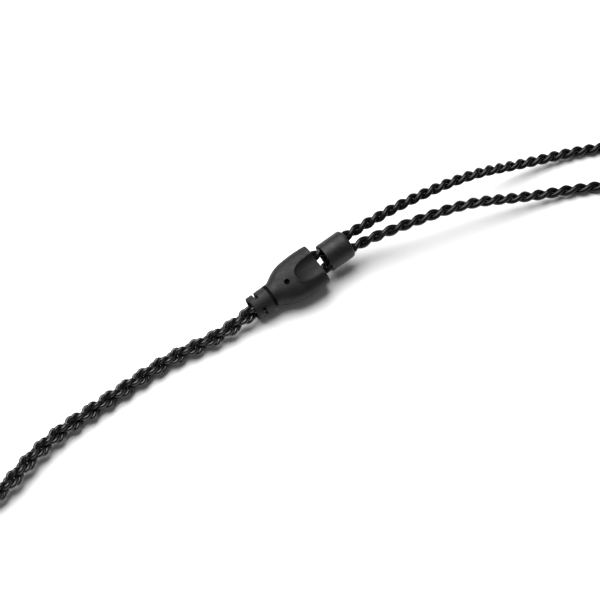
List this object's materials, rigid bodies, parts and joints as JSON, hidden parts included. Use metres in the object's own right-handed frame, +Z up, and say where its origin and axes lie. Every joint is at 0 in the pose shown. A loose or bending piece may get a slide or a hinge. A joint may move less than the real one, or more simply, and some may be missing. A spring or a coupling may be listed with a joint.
{
  "type": "in-ear monitor set",
  "caption": "In-ear monitor set: twisted cord with Y splitter and chin slider, 3.5 mm plug, ear hooks, swivel snap connectors and earpieces with soft tips.",
  "frame": {"origin": "on the table, straight under the middle of the splitter's mouth", "axes": "+Z up from the table; +X runs from the plug's end of the set towards the earpieces; the splitter's axis points 36 degrees from +X towards +Y and 6 degrees up"},
  "size_m": [0.2574, 0.0955, 0.0217],
  "materials": {
    "splitter_plastic": "soft-touch moulded, fine matte",
    "slider_plastic": "moulded satin",
    "core_plastic": "plain moulded",
    "cord_jacket": "glossy extruded jacket",
    "plug_plastic": "soft-touch moulded, fine matte",
    "contact_metal": "gold-plated, polished",
    "insulator": "moulded",
    "tie_strap": "woven hook-and-loop strap",
    "hook_sleeve": "clear-black heat-shrunk sleeve",
    "shell_outer": "polished moulded",
    "shell_inner": "polished moulded",
    "board": "solder-masked",
    "driver_can": "drawn can",
    "damper_foam": "fine knit",
    "filter_mesh": "woven mesh",
    "tip_silicone": "soft matte silicone"
  },
  "bodies": {
    "cable": {"left_centre_pin": "contact_metal", "left_coil": "cord_jacket", "left_coil_tie": "tie_strap", "left_connector_barrel": "plug_plastic", "left_ear_hook": "hook_sleeve", "left_leg": "cord_jacket", "left_pin_insulator": "insulator", "left_snap_contact": "contact_metal", "left_tail": "cord_jacket", "main_coil": "cord_jacket", "main_coil_tie": "tie_strap", "main_cord": "cord_jacket", "main_tail": "cord_jacket", "plug_collar": "contact_metal", "plug_core": "core_plastic", "plug_front_insulator": "insulator", "plug_overmould": "plug_plastic", "plug_rear_insulator": "insulator", "plug_ring": "contact_metal", "plug_sleeve": "contact_metal", "plug_tip": "contact_metal", "right_centre_pin": "contact_metal", "right_coil": "cord_jacket", "right_coil_tie": "tie_strap", "right_connector_barrel": "plug_plastic", "right_ear_hook": "hook_sleeve", "right_leg": "cord_jacket", "right_pin_insulator": "insulator", "right_snap_contact": "contact_metal", "right_tail": "cord_jacket", "splitter_core": "core_plastic", "splitter_overmould": "splitter_plastic"},
    "slider": {"cable_slider": "slider_plastic"},
    "left_earpiece": {"left_outer_shell": "shell_outer", "left_inner_shell": "shell_inner", "left_socket": "contact_metal", "left_socket_insulator": "insulator", "left_receptacle": "contact_metal", "left_crossover_board": "board", "left_woofer": "driver_can", "left_tweeter": "driver_can", "left_damper": "damper_foam", "left_wax_filter": "filter_mesh"},
    "left_tip": {"left_ear_tip": "tip_silicone"},
    "right_earpiece": {"right_outer_shell": "shell_outer", "right_inner_shell": "shell_inner", "right_socket": "contact_metal", "right_socket_insulator": "insulator", "right_receptacle": "contact_metal", "right_crossover_board": "board", "right_woofer": "driver_can", "right_tweeter": "driver_can", "right_damper": "damper_foam", "right_wax_filter": "filter_mesh"},
    "right_tip": {"right_ear_tip": "tip_silicone"}
  },
  "joints": [
    {"name": "slider_slide", "type": "slide", "parent": "cable", "child": "slider", "axis": [0.8015, 0.5888, 0.1045], "range_m": [-0.002, 0.003]},
    {"name": "left_swivel", "type": "hinge", "parent": "cable", "child": "left_earpiece", "pos_m": [0.12228, -0.03003, 0.005], "axis": [-0.5046, -0.8633, 0], "continuous": true},
    {"name": "right_swivel", "type": "hinge", "parent": "cable", "child": "right_earpiece", "pos_m": [0.08208, -0.04203, 0.005], "axis": [-0.5046, -0.8633, 0], "continuous": true},
    {"name": "left_tip_pull", "type": "slide", "parent": "left_earpiece", "child": "left_tip", "axis": [-0.0316, -0.3406, 0.9397], "range_m": [0, 0.0075]},
    {"name": "right_tip_pull", "type": "slide", "parent": "right_earpiece", "child": "right_tip", "axis": [-0.2812, -0.1947, 0.9397], "range_m": [0, 0.0075]}
  ]
}
